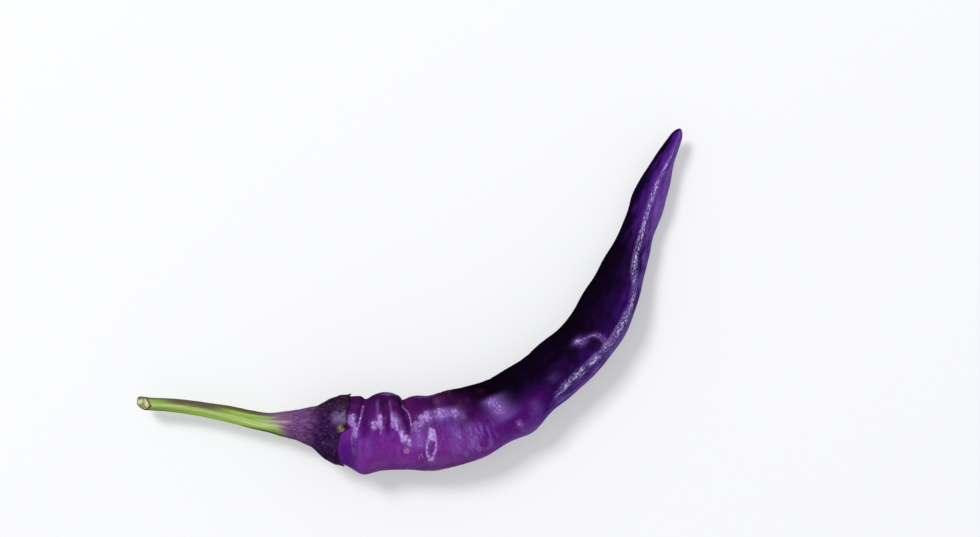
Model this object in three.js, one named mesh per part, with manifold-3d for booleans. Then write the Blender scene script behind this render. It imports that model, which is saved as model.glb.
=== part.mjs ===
// A long purple chilli pepper as picked, lying on a flat surface: the pod, the toothed calyx that
// hugs its shoulder, and the ridged stalk with its cut end. Millimetres, +Z up. The origin is on the
// surface, below the middle of the pepper's box, and X runs along its longest side.
import * as THREE from "three";
import { mergeVertices } from "three/addons/utils/BufferGeometryUtils.js";
import Module from "manifold-3d";

const wasm = await Module();
wasm.setup();

// Driving dimensions

// The pepper's middle line, from the stalk's cut end to the tip: [x, y, height].
const SPINE = [
  [-74.17, -27.7, 8.0],
  [-62.77, -28.5, 7.6],
  [-51.27, -30.4, 7.8],
  [-39.67, -32.8, 8.4],
  [-28.17, -33.7, 9.2],
  [-16.67, -35.0, 9.6],
  [-4.47, -36.0, 9.3],
  [7.73, -35.2, 9.85],
  [19.63, -31.9, 9.45],
  [30.53, -26.3, 8.5],
  [40.23, -18.7, 8.0],
  [49.03, -10.1, 7.7],
  [55.13, 0.8, 7.1],
  [59.83, 12.1, 5.45],
  [64.13, 23.9, 4.9],
  [68.43, 35.6, 5.1],
  [73.73, 46.8, 6.5],
];
// The point of SPINE at the calyx rim. Places along the pepper are in millimetres past it.
const RIM_POINT = 5;
// How much less the pepper measures upwards than sideways.
const FLATNESS = 0.94;

// The pod's half width along it: [mm past the rim, mm].
const POD_RADII = [
  [0, 9.1],
  [3, 9.55],
  [12, 9.6],
  [24, 10.0],
  [33, 10.0],
  [41, 8.95],
  [50, 8.6],
  [58, 8.2],
  [72, 7.8],
  [86, 7.3],
  [92, 6.45],
  [100, 5.25],
  [107, 4.6],
  [115, 4.45],
  [121, 4.0],
  [127, 2.75],
  [132, 1.95],
  [136, 1.35],
];
// The domed shoulder under the calyx, and the rounded tip.
const SHOULDER_DEPTH = 5.6;
const TIP_ROUNDING = 2.8;

// The pod is a little three-sided past the bend. The crest of one side runs along the top of the
// pepper: [mm past the rim, degrees from the top towards the outside of the bend].
const CREST = [
  [30, 46],
  [78, 47],
  [96, 32],
  [119, 19],
  [136, 40],
];
const CREST_SHARE = 0.035;
const CREST_FROM = 28;
const CREST_FULL = 55;

// Folds run across the pod, along a path of [degrees, mm past the rim]. Degrees are counted from the
// top towards the outside of the bend. A fold falls off over before and after millimetres on its two
// sides, and over fade degrees past the ends of its path.
const FOLDS = [
  // The groove between the collar next to the calyx and the knuckle behind it.
  { height: -0.9, before: 1.0, after: 1.5, fade: 30, path: [[-100, 4.1], [-50, 3.7], [0, 3.0], [30, 3.6]] },
  // The knuckle, the valley on it, its brow, and the crease where it overhangs the pod.
  { height: 1.15, before: 3.4, after: 3.8, fade: 30, path: [[-120, 9.9], [-80, 10.0], [-40, 10.8]] },
  { height: -0.75, before: 1.1, after: 1.1, fade: 13, path: [[-60, 10.3], [-15, 10.8]] },
  { height: 0.3, before: 1.4, after: 0.8, fade: 20, path: [[-80, 12.0], [-45, 13.6], [-10, 15.4]] },
  {
    height: -1.1,
    before: 0.8,
    after: 2.2,
    fade: 16,
    path: [[-95, 14.2], [-70, 14.0], [-45, 15.2], [-22, 16.7], [-5, 17.3], [8, 16.7]],
  },
  // The bulge low on the outside of the shoulder, and the hollow behind it.
  { height: 1.9, before: 2.8, after: 3.4, fade: 30, path: [[74, 5.4], [110, 5.6]] },
  { height: -0.25, before: 3.2, after: 3.2, fade: 30, path: [[70, 14.5], [110, 14.5]] },
  // The long dimple across the pod.
  { height: -0.55, before: 1.2, after: 1.2, fade: 9, path: [[0, 23.6], [22, 23.1], [46, 23.4]] },
];

// Bumps, or hollows where the height is negative: along and reach are millimetres, around and
// spread are degrees.
const BUMPS = [
  // The lobe that swells over the calyx rim, and two plain ones behind the crease.
  { height: 0.55, along: 1.2, around: 40, reach: 2.2, spread: 28 },
  { height: 0.3, along: 19.5, around: -85, reach: 2.6, spread: 40 },
  { height: 0.5, along: 21.5, around: 95, reach: 4.0, spread: 30 },
  // A round dimple on the bend.
  { height: -0.35, along: 71.5, around: 26, reach: 1.5, spread: 11 },
  // Corners of the outline on the bend and before the tip.
  { height: 0.2, along: 37, around: -90, reach: 3.2, spread: 42 },
  { height: 0.75, along: 47, around: 88, reach: 3.4, spread: 42 },
  { height: -0.4, along: 54.5, around: 88, reach: 3.2, spread: 42 },
  { height: 0.3, along: 114.5, around: -90, reach: 3.0, spread: 50 },
  // The three low lobes that the pepper lies on.
  { height: 0.6, along: 8, around: 178, reach: 7.0, spread: 40 },
  { height: 0.5, along: 49, around: 168, reach: 6.5, spread: 38 },
  { height: 0.4, along: 97, around: 180, reach: 7.0, spread: 45 },
];
// Slow swells all along the pod: [height, length of a swell, turns round, phase in degrees].
const SWELLS = [
  [0.1, 17, 2, 20],
  [0.08, 11, 3, 130],
];

// The calyx: its outer half width [mm past the rim, mm], its wall, and the gap to the pod.
const CALYX_RADII = [
  [-13.6, 4.15],
  [-11, 4.95],
  [-9, 5.6],
  [-7.6, 6.5],
  [-6, 7.7],
  [-4.4, 8.6],
  [-2.4, 9.4],
  [0, 9.75],
];
const CALYX_START = -13.6;
const CALYX_WALL = 0.55;
const GAP = 0.32;
// The rim lies between its teeth at RIM_MEAN. TEETH are [degrees, length, degrees from the middle
// of a tooth to its foot].
const RIM_MEAN = -0.9;
const TEETH = [
  [-90, 1.5, 15],
  [-55, 0.8, 10],
  [0, 1.5, 15],
  [90, 1.2, 15],
  [145, 1.3, 15],
  [200, 1.4, 15],
  [235, 0.7, 10],
];
// How far back from the rim its teeth and scallops fade into the cup.
const RIM_DEPTH = 2.4;

// The stalk: half width [mm past the rim, mm], its five ribs, and the slant of its cut end.
const STALK_RADII = [
  [-57, 1.85],
  [-54, 1.7],
  [-46, 1.8],
  [-39, 1.9],
  [-32, 2.2],
  [-25, 2.35],
  [-21, 2.6],
  [-18, 3.25],
  [-14, 4.1],
];
const STALK_END = CALYX_START - GAP;
const STALK_RIBS = 5;
const RIB_SHARE = 0.07;
const RIB_TWIST = 1.6;
// The cut looks back along the stalk and up, and a little to the outside.
const CUT_NORMAL = [-0.62, -0.3, 0.72];
const CUT_BACK = 0.9;

// Curves through tables

// The value at x of a smooth curve through the table's points, level beyond its ends.
function through(table, x) {
  const last = table.length - 1;
  if (x <= table[0][0]) return table[0][1];
  if (x >= table[last][0]) return table[last][1];
  let i = 0;
  while (x > table[i + 1][0]) i += 1;
  const slope = (a, b) => (table[b][1] - table[a][1]) / (table[b][0] - table[a][0]);
  const width = table[i + 1][0] - table[i][0];
  const t = (x - table[i][0]) / width;
  const before = slope(Math.max(i - 1, 0), i + 1) * width;
  const after = slope(i, Math.min(i + 2, last)) * width;
  return (
    table[i][1] * (2 * t ** 3 - 3 * t ** 2 + 1) +
    before * (t ** 3 - 2 * t ** 2 + t) +
    table[i + 1][1] * (3 * t ** 2 - 2 * t ** 3) +
    after * (t ** 3 - t ** 2)
  );
}

const radians = THREE.MathUtils.degToRad;
const smooth = THREE.MathUtils.smoothstep;

// The turn from one bearing to another, from -180 to 180 degrees.
function turn(from, to) {
  return THREE.MathUtils.euclideanModulo(to - from + 180, 360) - 180;
}

// The spine, and the frame that carries each section

const SPAN_STEPS = 100;
const spine = new THREE.CatmullRomCurve3(
  SPINE.map((point) => new THREE.Vector3(...point)),
  false,
  "catmullrom",
  0.5,
);
spine.arcLengthDivisions = SPAN_STEPS * (SPINE.length - 1);
const rimAt = spine.getLengths()[SPAN_STEPS * RIM_POINT];
const podLength = spine.getLength() - rimAt;

// Moves a shape that was turned about the Y axis onto the spine: its Y becomes millimetres past the
// rim, and its bearing becomes degrees from the top of the pepper towards the outside of the bend.
function bendToSpine(geometry) {
  const place = geometry.getAttribute("position");
  const up = new THREE.Vector3(0, 0, 1);
  for (let i = 0; i < place.count; i += 1) {
    const share = THREE.MathUtils.clamp((rimAt + place.getY(i)) / spine.getLength(), 0, 1);
    const ahead = spine.getTangentAt(share);
    const outward = new THREE.Vector3().crossVectors(ahead, up).normalize();
    const upward = new THREE.Vector3().crossVectors(outward, ahead);
    const point = spine
      .getPointAt(share)
      .addScaledVector(outward, place.getX(i))
      .addScaledVector(upward, place.getZ(i) * FLATNESS);
    place.setXYZ(i, point.x, point.y, point.z);
  }
  return geometry;
}

// A closed shape turned about the Y axis from rings [mm past the rim, half width], with each point
// moved to radiusAt(along, bearing, ring) and along by shiftAt(along, bearing, ring).
function turned(rings, sides, radiusAt, shiftAt = () => 0) {
  const profile = rings.map(([along, radius]) => new THREE.Vector2(Math.max(radius, 0), along));
  const geometry = new THREE.LatheGeometry(profile, sides);
  const place = geometry.getAttribute("position");
  for (let i = 0; i < place.count; i += 1) {
    const ring = i % rings.length;
    const [along, radius] = rings[ring];
    if (radius <= 0) continue;
    const side = Math.floor(i / rings.length) % sides;
    const bearing = (side / sides) * 360;
    const r = radiusAt(along, bearing, ring);
    const angle = radians(bearing);
    place.setXYZ(
      i,
      r * Math.sin(angle),
      along + shiftAt(along, bearing, ring),
      r * Math.cos(angle),
    );
  }
  return geometry;
}

// A closed mesh as a solid to cut, and back again.
function solidOf(geometry) {
  const bare = geometry.clone();
  bare.deleteAttribute("normal");
  bare.deleteAttribute("uv");
  const merged = mergeVertices(bare, 1e-4);
  return new wasm.Manifold(
    new wasm.Mesh({
      numProp: 3,
      vertProperties: merged.getAttribute("position").array,
      triVerts: new Uint32Array(merged.index.array),
    }),
  );
}

function geometryOf(solid) {
  const mesh = solid.getMesh();
  const geometry = new THREE.BufferGeometry();
  geometry.setAttribute("position", new THREE.BufferAttribute(mesh.vertProperties, 3));
  geometry.setIndex(new THREE.BufferAttribute(mesh.triVerts, 1));
  geometry.computeVertexNormals();
  return geometry;
}

// Pod

const POD_SIDES = 38;
const SHOULDER_RINGS = 6;
const TIP_RINGS = 5;
const FOLDED_LENGTH = 27;
const FINE_STEP = 0.9;
const COARSE_STEP = 2.5;

// The pod's half width with no folds.
function podGirth(along) {
  const shoulder = along < 0 ? Math.sqrt(Math.max(0, 1 - (along / SHOULDER_DEPTH) ** 2)) : 1;
  const cap = (along - (podLength - TIP_ROUNDING)) / TIP_ROUNDING;
  const tip = cap > 0 ? Math.sqrt(Math.max(0, 1 - cap ** 2)) : 1;
  return through(POD_RADII, along) * shoulder * tip;
}

// How much a fold adds to the pod's half width at a place.
function foldAt(fold, along, bearing) {
  const first = fold.path[0][0];
  const last = fold.path[fold.path.length - 1][0];
  const middle = (first + last) / 2;
  const round = middle + turn(middle, bearing);
  const past = Math.max(first - round, round - last, 0) / fold.fade;
  const off = along - through(fold.path, round);
  const side = off / (off < 0 ? fold.before : fold.after);
  return fold.height * Math.exp(-(side ** 2) - past ** 2);
}

function bumpAt(bump, along, bearing) {
  const off = (along - bump.along) / bump.reach;
  const round = turn(bump.around, bearing) / bump.spread;
  return bump.height * Math.exp(-(off ** 2) - round ** 2);
}

function podRadius(along, bearing) {
  const girth = podGirth(along);
  const threeSided =
    CREST_SHARE *
    smooth(along, CREST_FROM, CREST_FULL) *
    Math.cos(3 * radians(bearing - through(CREST, along)));
  let relief = 0;
  for (const fold of FOLDS) relief += foldAt(fold, along, bearing);
  for (const bump of BUMPS) relief += bumpAt(bump, along, bearing);
  for (const [height, length, turns, phase] of SWELLS) {
    relief += height * Math.sin((along / length) * 2 * Math.PI + radians(turns * bearing + phase));
  }
  // The relief fades where the pod closes at the tip and under the calyx.
  const fade = Math.min(1, girth / 4) * smooth(along, -SHOULDER_DEPTH, 0);
  return girth * (1 + threeSided) + fade * relief;
}

// Places of the pod's rings: close in the rounded ends and the folds, and wider along the bend.
function podRings() {
  const places = [];
  const tipStart = podLength - TIP_ROUNDING;
  for (let i = 0; i < SHOULDER_RINGS; i += 1) {
    places.push(-SHOULDER_DEPTH * Math.cos((i / SHOULDER_RINGS) * (Math.PI / 2)));
  }
  for (let along = 0; along < FOLDED_LENGTH; along += FINE_STEP) places.push(along);
  const plain = Math.round((tipStart - FOLDED_LENGTH) / COARSE_STEP);
  for (let i = 0; i < plain; i += 1) {
    places.push(THREE.MathUtils.lerp(FOLDED_LENGTH, tipStart, i / plain));
  }
  for (let i = 0; i <= TIP_RINGS; i += 1) {
    places.push(tipStart + TIP_ROUNDING * Math.sin((i / TIP_RINGS) * (Math.PI / 2)));
  }
  return places.map((along) => [along, podGirth(along)]);
}

function makePod() {
  const whole = solidOf(bendToSpine(turned(podRings(), POD_SIDES, podRadius)));
  // The surface that the pepper lies on presses its three low lobes flat.
  const ground = new THREE.BoxGeometry(400, 400, 20).translate(0, 0, -10);
  return geometryOf(whole.subtract(solidOf(ground)));
}

// Calyx

const CALYX_SIDES = 72;
const OUTER_RINGS = 10;
// Places of the inner rings on the domed shoulder, from the rim inwards.
const INNER_RINGS = [0, -1, -2.2, -3.5, -4.6, -5.3];

// How far the rim reaches past the cup's end at a bearing.
function rimReach(bearing) {
  let reach = RIM_MEAN;
  for (const [around, length, foot] of TEETH) {
    const off = Math.abs(turn(around, bearing)) / foot;
    if (off < 1) reach += length * (1 - off);
  }
  return reach;
}

function makeCalyx() {
  const outer = [];
  for (let i = 0; i <= OUTER_RINGS; i += 1) outer.push(CALYX_START * (1 - i / OUTER_RINGS) ** 1.15);
  const rings = [
    [CALYX_START, 0],
    ...outer.map((along) => [along, through(CALYX_RADII, along)]),
    ...INNER_RINGS.map((along) => [along, podGirth(along) + GAP]),
    [-SHOULDER_DEPTH - GAP, 0],
  ];
  const firstInner = 1 + outer.length;
  const shiftAt = (along, bearing) => rimReach(bearing) * smooth(along, -RIM_DEPTH, 0);
  const radiusAt = (along, bearing, ring) => {
    const place = along + shiftAt(along, bearing);
    const inside = podRadius(place, bearing) + GAP;
    if (ring >= firstInner) return inside;
    const cup = through(CALYX_RADII, along);
    return along < -SHOULDER_DEPTH ? cup : Math.max(cup, inside + CALYX_WALL);
  };
  return bendToSpine(turned(rings, CALYX_SIDES, radiusAt, shiftAt));
}

// Stalk

const STALK_SIDES = 25;
const STALK_RINGS = 18;

function stalkRadius(along, bearing) {
  const rib = Math.cos(radians(STALK_RIBS * (bearing + RIB_TWIST * along)));
  const share = RIB_SHARE * smooth(-along, 14, 20);
  return through(STALK_RADII, along) * (1 + share * rib);
}

function makeStalk() {
  const rings = [[-rimAt, 0]];
  for (let i = 0; i <= STALK_RINGS; i += 1) {
    const along = THREE.MathUtils.lerp(-rimAt, STALK_END, i / STALK_RINGS);
    rings.push([along, through(STALK_RADII, along)]);
  }
  rings.push([STALK_END, 0]);
  const whole = solidOf(bendToSpine(turned(rings, STALK_SIDES, stalkRadius)));
  // The blade's slanted cut takes off everything past a plane near the stalk's end.
  const normal = new THREE.Vector3(...CUT_NORMAL).normalize();
  const facing = new THREE.Quaternion().setFromUnitVectors(new THREE.Vector3(0, 0, 1), normal);
  const middle = spine.getPointAt(CUT_BACK / spine.getLength());
  const blade = new THREE.BoxGeometry(20, 20, 20).translate(0, 0, 10);
  blade.applyQuaternion(facing).translate(middle.x, middle.y, middle.z);
  return geometryOf(whole.subtract(solidOf(blade)));
}

// The pepper

const pepper = new THREE.Group();

function addPiece(name, geometry, color, roughness) {
  const material = new THREE.MeshStandardMaterial({ color, roughness, metalness: 0 });
  const piece = new THREE.Mesh(geometry, material);
  piece.name = name;
  pepper.add(piece);
}

addPiece("pod", makePod(), "#3a1250", 0.28);
addPiece("calyx", makeCalyx(), "#3a2a44", 0.55);
addPiece("stalk", makeStalk(), "#86b32c", 0.5);

export default pepper;
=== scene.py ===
# %% [markdown]
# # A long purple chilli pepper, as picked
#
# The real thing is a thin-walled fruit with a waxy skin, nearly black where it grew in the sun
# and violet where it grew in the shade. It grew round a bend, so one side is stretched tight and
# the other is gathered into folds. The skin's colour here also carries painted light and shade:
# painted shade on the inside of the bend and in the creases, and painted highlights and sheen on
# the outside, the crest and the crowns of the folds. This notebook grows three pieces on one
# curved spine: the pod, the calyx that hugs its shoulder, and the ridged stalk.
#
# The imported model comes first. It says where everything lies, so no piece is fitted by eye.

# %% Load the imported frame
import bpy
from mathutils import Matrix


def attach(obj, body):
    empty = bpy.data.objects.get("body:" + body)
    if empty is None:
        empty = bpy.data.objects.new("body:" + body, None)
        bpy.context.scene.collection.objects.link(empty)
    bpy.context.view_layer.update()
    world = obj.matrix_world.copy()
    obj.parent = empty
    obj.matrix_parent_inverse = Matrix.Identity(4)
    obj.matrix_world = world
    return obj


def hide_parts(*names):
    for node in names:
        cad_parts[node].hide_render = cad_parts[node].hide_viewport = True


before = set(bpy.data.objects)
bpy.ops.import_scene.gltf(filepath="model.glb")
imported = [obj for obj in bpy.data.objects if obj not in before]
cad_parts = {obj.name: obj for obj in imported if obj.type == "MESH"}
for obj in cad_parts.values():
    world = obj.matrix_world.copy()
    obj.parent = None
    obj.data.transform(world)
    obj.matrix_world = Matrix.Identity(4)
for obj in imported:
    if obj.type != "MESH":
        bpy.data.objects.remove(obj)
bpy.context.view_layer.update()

# %% [markdown]
# ## Smooth curves through a few values
#
# A pepper's width, its bend and its folds all change smoothly along it. A short table of places
# and values is easy to read and to change, so each of those is a table, and one helper draws a
# smooth curve through it.

# %% Curves through tables
import math

import bmesh
import bpy
from mathutils import Vector, noise

MM = 0.001


def through(table, x):
    """The value at x of a smooth curve through the table's points, level beyond its ends."""
    last = len(table) - 1
    if x <= table[0][0]:
        return table[0][1]
    if x >= table[last][0]:
        return table[last][1]
    i = 0
    while x > table[i + 1][0]:
        i += 1
    width = table[i + 1][0] - table[i][0]
    t = (x - table[i][0]) / width

    def slope(a, b):
        return (table[b][1] - table[a][1]) / (table[b][0] - table[a][0])

    before = slope(max(i - 1, 0), i + 1) * width
    after = slope(i, min(i + 2, last)) * width
    return (
        table[i][1] * (2 * t**3 - 3 * t**2 + 1)
        + before * (t**3 - 2 * t**2 + t)
        + table[i + 1][1] * (3 * t**2 - 2 * t**3)
        + after * (t**3 - t**2)
    )


def smooth(x, low, high):
    """0 below low, 1 above high, and an easy slope between."""
    t = min(max((x - low) / (high - low), 0), 1)
    return t * t * (3 - 2 * t)


def turn(start, end):
    """The turn from one bearing to another, from -180 to 180 degrees."""
    return (end - start + 180) % 360 - 180


# %% [markdown]
# ## The spine
#
# Everything hangs on one line through the middle of the stalk, the calyx and the pod. A curve
# object with a bevel could carry the pod, but it gives every section the same shape. Here each
# point is placed one by one from the line instead: a distance along it, a bearing round it and a
# half width, which lets folds and lobes go anywhere.

# %% The spine and the frame that carries each section
# [x, y, height] in millimetres, from the stalk's cut end to the tip.
SPINE = [
    (-74.17, -27.7, 8.0),
    (-62.77, -28.5, 7.6),
    (-51.27, -30.4, 7.8),
    (-39.67, -32.8, 8.4),
    (-28.17, -33.7, 9.2),
    (-16.67, -35.0, 9.6),
    (-4.47, -36.0, 9.3),
    (7.73, -35.2, 9.85),
    (19.63, -31.9, 9.45),
    (30.53, -26.3, 8.5),
    (40.23, -18.7, 8.0),
    (49.03, -10.1, 7.7),
    (55.13, 0.8, 7.1),
    (59.83, 12.1, 5.45),
    (64.13, 23.9, 4.9),
    (68.43, 35.6, 5.1),
    (73.73, 46.8, 6.5),
]
RIM_POINT = 5
SPAN_STEPS = 100
FLATNESS = 0.94


def spine_line():
    """Points close together on a smooth curve through SPINE."""
    knots = [Vector(point) for point in SPINE]
    knots = [2 * knots[0] - knots[1], *knots, 2 * knots[-1] - knots[-2]]
    line = []
    for before, start, end, after in zip(knots, knots[1:], knots[2:], knots[3:]):
        leaving, arriving = (end - before) / 2, (after - start) / 2
        for step in range(SPAN_STEPS):
            t = step / SPAN_STEPS
            line.append(
                start * (2 * t**3 - 3 * t**2 + 1)
                + leaving * (t**3 - 2 * t**2 + t)
                + end * (3 * t**2 - 2 * t**3)
                + arriving * (t**3 - t**2)
            )
    return line + [knots[-2]]


spine = spine_line()
reach = [0.0]
for start, end in zip(spine, spine[1:]):
    reach.append(reach[-1] + (end - start).length)
rim_at = reach[SPAN_STEPS * RIM_POINT]
stalk_start = -rim_at
pod_length = reach[-1] - rim_at
print("stalk and calyx", round(rim_at, 1), "mm, pod", round(pod_length, 1), "mm")


def section(along):
    """The spine's point and its outward, ahead and upward directions, along mm past the rim."""
    want = min(max(rim_at + along, 0), reach[-1])
    low, high = 0, len(reach) - 2
    while low < high:
        middle = (low + high + 1) // 2
        if reach[middle] <= want:
            low = middle
        else:
            high = middle - 1
    t = (want - reach[low]) / (reach[low + 1] - reach[low])
    point = spine[low].lerp(spine[low + 1], t)
    ahead = (spine[min(low + 3, len(spine) - 1)] - spine[max(low - 2, 0)]).normalized()
    outward = ahead.cross(Vector((0, 0, 1))).normalized()
    return point, outward, ahead, outward.cross(ahead)


# %% [markdown]
# ## Turning a skin and bending it onto the spine
#
# A pepper starts as a turned shape, like a bottle: a profile spun round an axis. Blender's spin
# does that, and it closes the skin where the profile meets the axis. The second helper carries
# the straight skin onto the bent spine. It also writes each point's place on the skin into an
# attribute named skin, in millimetres, so that the finishes can follow the pepper round its bend.

# %% Spin and bend
SKIN_RADIUS = 10


def turned(rings, sides):
    """A closed skin spun about the Y axis from (mm past the rim, half width) pairs."""
    mesh = bmesh.new()
    line = [mesh.verts.new((max(radius, 0), along, 0)) for along, radius in rings]
    edges = [mesh.edges.new(pair) for pair in zip(line, line[1:])]
    bmesh.ops.spin(
        mesh, geom=line + edges, cent=(0, 0, 0), axis=(0, 1, 0), dvec=(0, 0, 0),
        angle=2 * math.pi, steps=sides, use_merge=True,
    )
    bmesh.ops.remove_doubles(mesh, verts=mesh.verts[:], dist=1e-5)
    bmesh.ops.recalc_face_normals(mesh, faces=mesh.faces[:])
    return mesh


def bend(mesh, shape):
    """Carries a turned skin onto the spine. shape(along, bearing, radius) gives each point's
    half width and how far it is pushed along the spine."""
    skin = mesh.verts.layers.float_vector.new("skin")
    sections = {}
    for vertex in mesh.verts:
        along = vertex.co.y
        radius = math.hypot(vertex.co.x, vertex.co.z)
        angle = math.atan2(vertex.co.x, vertex.co.z)
        key = round(along, 4)
        if key not in sections:
            sections[key] = section(along)
        point, outward, ahead, upward = sections[key]
        width, push = shape(along, math.degrees(angle), radius) if radius > 1e-4 else (0, 0)
        vertex[skin] = (along + push, SKIN_RADIUS * math.sin(angle), SKIN_RADIUS * math.cos(angle))
        vertex.co = (
            point
            + outward * (width * math.sin(angle))
            + upward * (width * math.cos(angle) * FLATNESS)
            + ahead * push
        )


def finished(mesh, name):
    """The bent skin as an object in metres, with smooth shading."""
    bmesh.ops.scale(mesh, vec=(MM, MM, MM), verts=mesh.verts[:])
    for face in mesh.faces:
        face.smooth = True
    data = bpy.data.meshes.new(name)
    mesh.to_mesh(data)
    mesh.free()
    piece = bpy.data.objects.new(name, data)
    bpy.context.scene.collection.objects.link(piece)
    print(name, "has", sum(len(face.vertices) - 2 for face in data.polygons), "triangles")
    return piece


# %% [markdown]
# ## The pod
#
# The half width runs from the domed shoulder to a blunt point. On top of it come three kinds of
# relief. Folds run across the pod on its gathered side: a groove, a knuckle and the crease that
# it overhangs. Bumps are single lobes and dimples. Past the bend the pod is a little
# three-sided, and the crest of one side catches a line of light, which the finish also paints on
# as a highlight. All of it is a change of half width worked out for each point, which keeps the
# skin closed and evenly meshed.

# %% The pod's half width
POD_RADII = [
    (0, 9.1),
    (3, 9.55),
    (12, 9.6),
    (24, 10.0),
    (33, 10.0),
    (41, 8.95),
    (50, 8.6),
    (58, 8.2),
    (72, 7.8),
    (86, 7.3),
    (92, 6.45),
    (100, 5.25),
    (107, 4.6),
    (115, 4.45),
    (121, 4.0),
    (127, 2.75),
    (132, 1.95),
    (136, 1.35),
]
SHOULDER_DEPTH = 5.6
TIP_ROUNDING = 2.8


def pod_girth(along):
    """The pod's half width with no folds."""
    shoulder = math.sqrt(max(0, 1 - (along / SHOULDER_DEPTH) ** 2)) if along < 0 else 1
    cap = (along - (pod_length - TIP_ROUNDING)) / TIP_ROUNDING
    tip = math.sqrt(max(0, 1 - cap**2)) if cap > 0 else 1
    return through(POD_RADII, along) * shoulder * tip


# %% Folds across the pod
# (height, mm it falls off before its line, mm after, degrees it fades over past its ends, line).
# A line is a few (degrees from the top towards the outside of the bend, mm past the rim).
FOLDS = [
    (-0.9, 1.0, 1.5, 30, [(-100, 4.1), (-50, 3.7), (0, 3.0), (30, 3.6)]),
    (1.15, 3.4, 3.8, 30, [(-120, 9.9), (-80, 10.0), (-40, 10.8)]),
    (-0.75, 1.1, 1.1, 13, [(-60, 10.3), (-15, 10.8)]),
    (0.3, 1.4, 0.8, 20, [(-80, 12.0), (-45, 13.6), (-10, 15.4)]),
    (-1.1, 0.8, 2.2, 16, [(-95, 14.2), (-70, 14.0), (-45, 15.2), (-22, 16.7), (-5, 17.3), (8, 16.7)]),
    (1.9, 2.8, 3.4, 30, [(74, 5.4), (110, 5.6)]),
    (-0.25, 3.2, 3.2, 30, [(70, 14.5), (110, 14.5)]),
    (-0.6, 0.85, 0.85, 8, [(2, 23.6), (20, 23.0), (42, 22.5)]),
    # Finer ones: the dimple's two raised edges, and gathers behind the crease.
    (0.16, 0.4, 0.4, 8, [(0, 22.3), (22, 21.8), (44, 21.5)]),
    (0.16, 0.4, 0.4, 8, [(-4, 24.7), (22, 24.2), (44, 23.5)]),
    (-0.16, 0.5, 0.7, 12, [(-70, 20.4), (-30, 20.0)]),
    (-0.14, 0.5, 0.8, 12, [(-95, 27.5), (-40, 27.0)]),
    (-0.12, 0.5, 0.7, 10, [(-60, 33.0), (-15, 33.6)]),
    (-0.14, 0.6, 0.8, 14, [(-100, 44.0), (-50, 43.5)]),
    (-0.12, 0.6, 0.8, 14, [(-100, 58.0), (-60, 58.5)]),
]


def fold(height, before, after, fade, line, along, bearing):
    """How much one fold adds to the half width at a place."""
    middle = (line[0][0] + line[-1][0]) / 2
    bearing = middle + turn(middle, bearing)
    past = max(line[0][0] - bearing, bearing - line[-1][0], 0) / fade
    if past > 2.5:
        return 0
    off = along - through(line, bearing)
    side = off / (before if off < 0 else after)
    return height * math.exp(-(side**2) - past**2) if abs(side) < 3 else 0


# %% Bumps, the crest and the swells
# (height, mm past the rim, bearing, reach in mm, spread in degrees)
BUMPS = [
    (0.55, 1.2, 40, 2.2, 28),
    (0.45, 8, -92, 8.0, 45),
    (0.3, 19.5, -85, 2.6, 40),
    (0.5, 21.5, 95, 4.0, 30),
    (-0.35, 71.5, 26, 1.5, 11),
    (0.2, 37, -90, 3.2, 42),
    (0.75, 47, 88, 3.4, 42),
    (-0.4, 54.5, 88, 3.2, 42),
    (0.3, 114.5, -90, 3.0, 50),
    (0.6, 8, 178, 7.0, 40),
    (0.5, 49, 168, 6.5, 38),
    (0.4, 97, 180, 7.0, 45),
]
SWELLS = [(0.1, 17, 2, 20), (0.08, 11, 3, 130)]
CREST = [
    (30, 46),
    (50, 38),
    (59, 31),
    (66, 29),
    (72, 34),
    (80, 40),
    (86, 41),
    (90, 36),
    (95, 20),
    (106, 7),
    (112, 3),
    (119, 2),
    (124, 11),
    (128, 20),
    (138, 20),
]
CREST_SHARE = 0.035
CREST_FROM = 28
CREST_FULL = 55
RIDGE_HEIGHT = 0.34
RIDGE_SPREAD = 15


def bump(height, at, around, span, spread, along, bearing):
    """How much one bump adds to the half width at a place."""
    off, round_it = (along - at) / span, turn(around, bearing) / spread
    return height * math.exp(-(off**2) - round_it**2) if abs(off) < 3 else 0


def pod_radius(along, bearing):
    """The pod's half width with its folds, bumps, crest and swells."""
    girth = pod_girth(along)
    crest = math.cos(3 * math.radians(bearing - through(CREST, along)))
    crest *= CREST_SHARE * smooth(along, CREST_FROM, CREST_FULL)
    off = turn(through(CREST, along), bearing) / RIDGE_SPREAD
    relief = RIDGE_HEIGHT * math.exp(-(off**2)) * smooth(along, 50, 62)
    relief += sum(fold(*one, along, bearing) for one in FOLDS)
    relief += sum(bump(*one, along, bearing) for one in BUMPS)
    for height, length, turns, phase in SWELLS:
        relief += height * math.sin(along / length * 2 * math.pi + math.radians(turns * bearing + phase))
    fade = min(1, girth / 4) * smooth(along, -SHOULDER_DEPTH, 0)
    return girth * (1 + crest) + fade * relief


# %% [markdown]
# Up close the skin isn't smooth: it is gathered into fine wrinkles that run across the pod, most
# of all behind the shoulder and on the crest. Noise that is squeezed along the pod and stretched
# round it has just that grain, and as real geometry it also breaks up the highlights.

# %% Fine wrinkles and the overhanging lip
WRINKLE_HEIGHT = 0.075
DENT_HEIGHT = 0.13
CREST_GATHER = 10
CREST_LINE = 5
LIP_PUSH = 0.9
LIP_LINE = FOLDS[4][4]


def gathers(along, bearing):
    """How gathered the skin is: fully on the shoulder and the crest, hardly at all between."""
    off = turn(through(CREST, along), bearing) / CREST_GATHER
    crest = math.exp(-(off**2)) * smooth(along, 52, 64)
    shoulder = 0.4 + 0.6 * smooth(along, 12, 20)
    return max(0.1, shoulder * (1 - smooth(along, 27, 36)), crest)


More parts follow.
